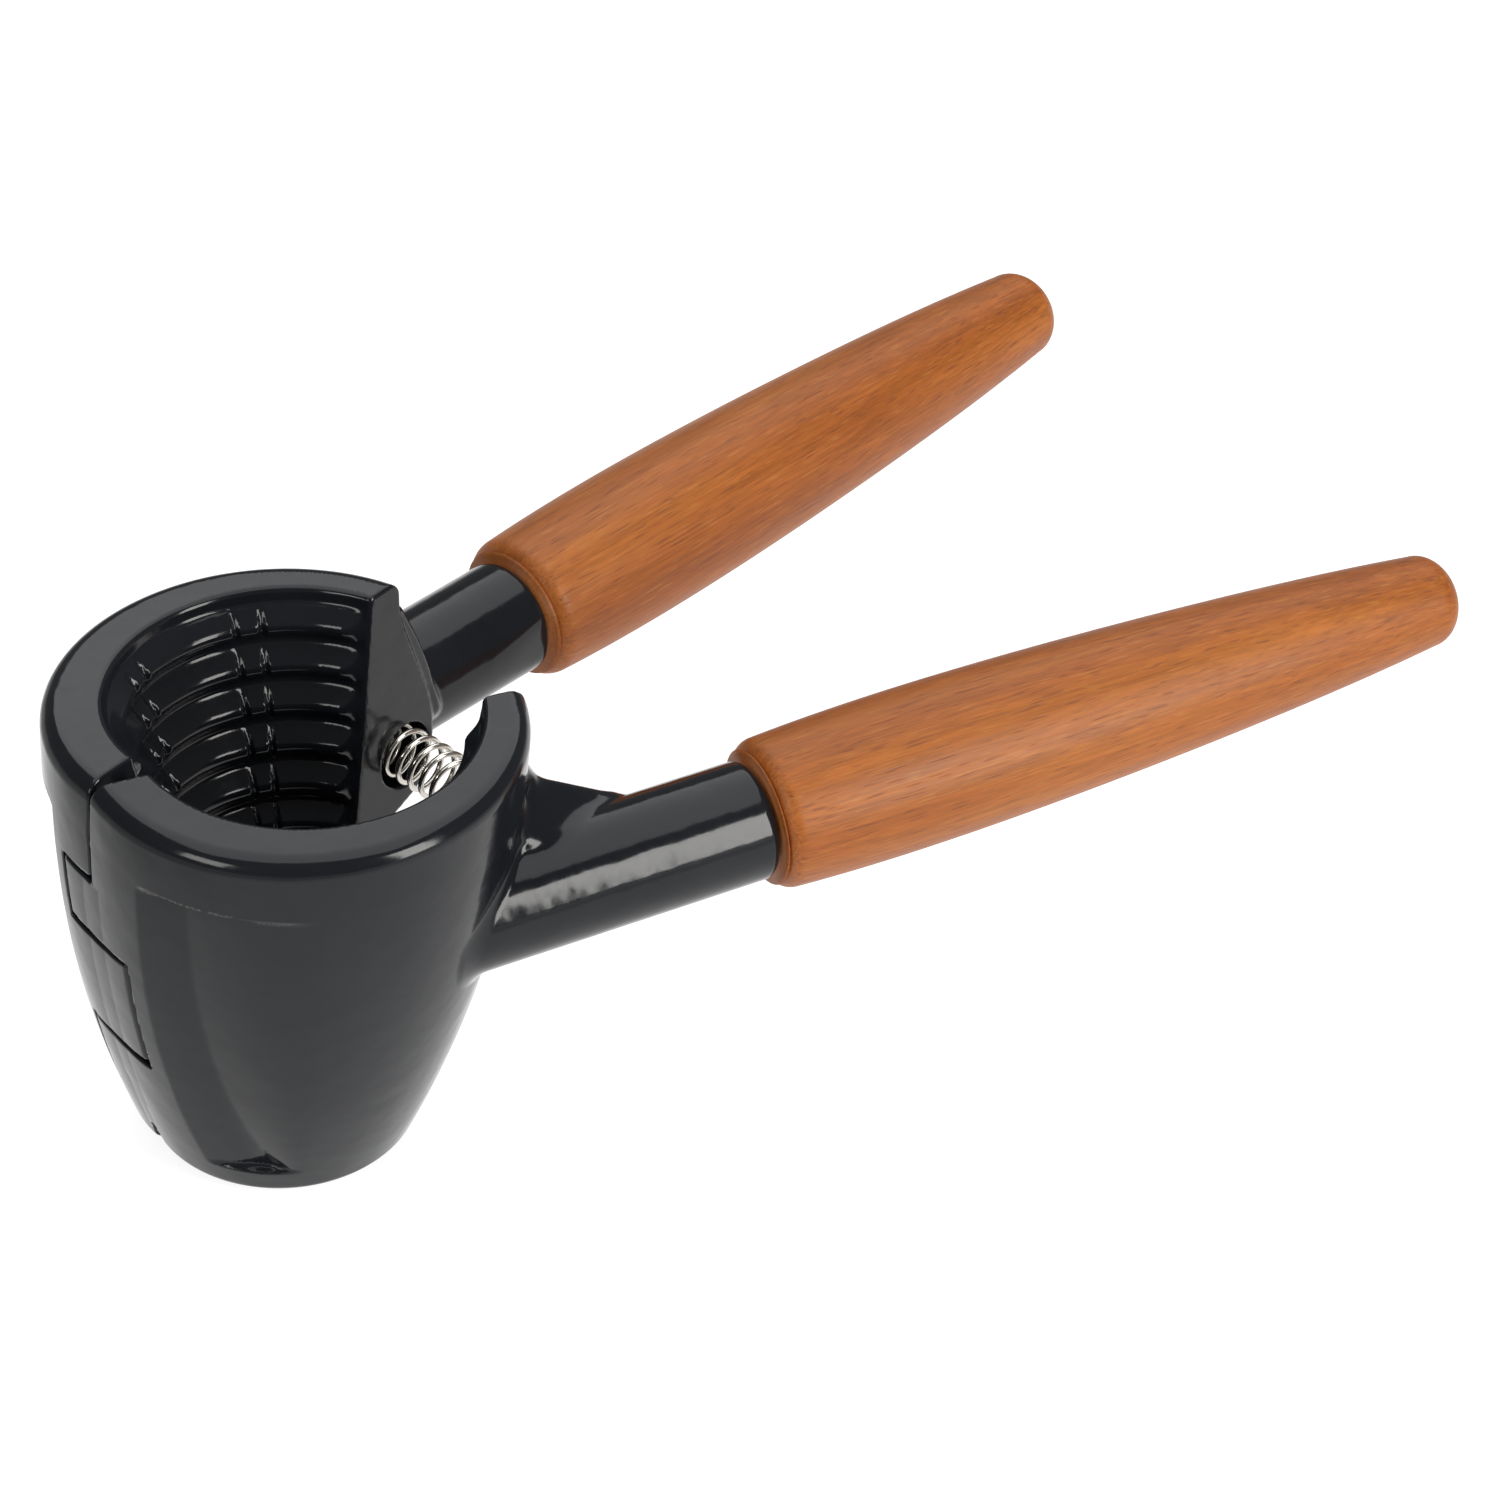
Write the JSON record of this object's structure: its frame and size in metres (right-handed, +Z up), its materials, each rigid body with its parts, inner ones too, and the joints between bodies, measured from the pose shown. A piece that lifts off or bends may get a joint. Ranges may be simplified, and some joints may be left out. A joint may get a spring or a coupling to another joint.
{
  "type": "nutcracker",
  "caption": "Hand nutcracker for walnuts: split cup with ribbed hollow on a leaning hinge, coil spring between the jaws, and turned wooden grips on steel arms",
  "frame": {"origin": "middle of the footprint in X and Y, level with the lowest edge of the cup", "axes": "+X from the hinge side of the cup to the grip tips, +Y from the front jaw to the rear jaw, +Z up out of the cup's mouth"},
  "size_m": [0.19, 0.102, 0.0632],
  "materials": {
    "black_lacquer": "high-gloss black lacquer on cast metal",
    "spring_steel": "bright drawn spring wire",
    "pin_steel": "plain turned steel",
    "turned_wood": "orange-brown turned hardwood, satin oiled"
  },
  "bodies": {
    "front": {"front_jaw": "black_lacquer", "front_grip": "turned_wood", "front_stud": "pin_steel", "hinge_pin": "pin_steel", "return_spring": "spring_steel"},
    "rear": {"rear_jaw": "black_lacquer", "rear_grip": "turned_wood", "rear_stud": "pin_steel"}
  },
  "joints": [
    {"name": "jaw_hinge", "type": "hinge", "parent": "front", "child": "rear", "pos_m": [-0.09369, 0, 0.06324], "axis": [0.1073, 0, -0.9942], "range_deg": [0, 22.2], "stiffness_Nm_per_rad": 1.2, "springref_deg": -14.32, "deforming": ["return_spring"]}
  ]
}
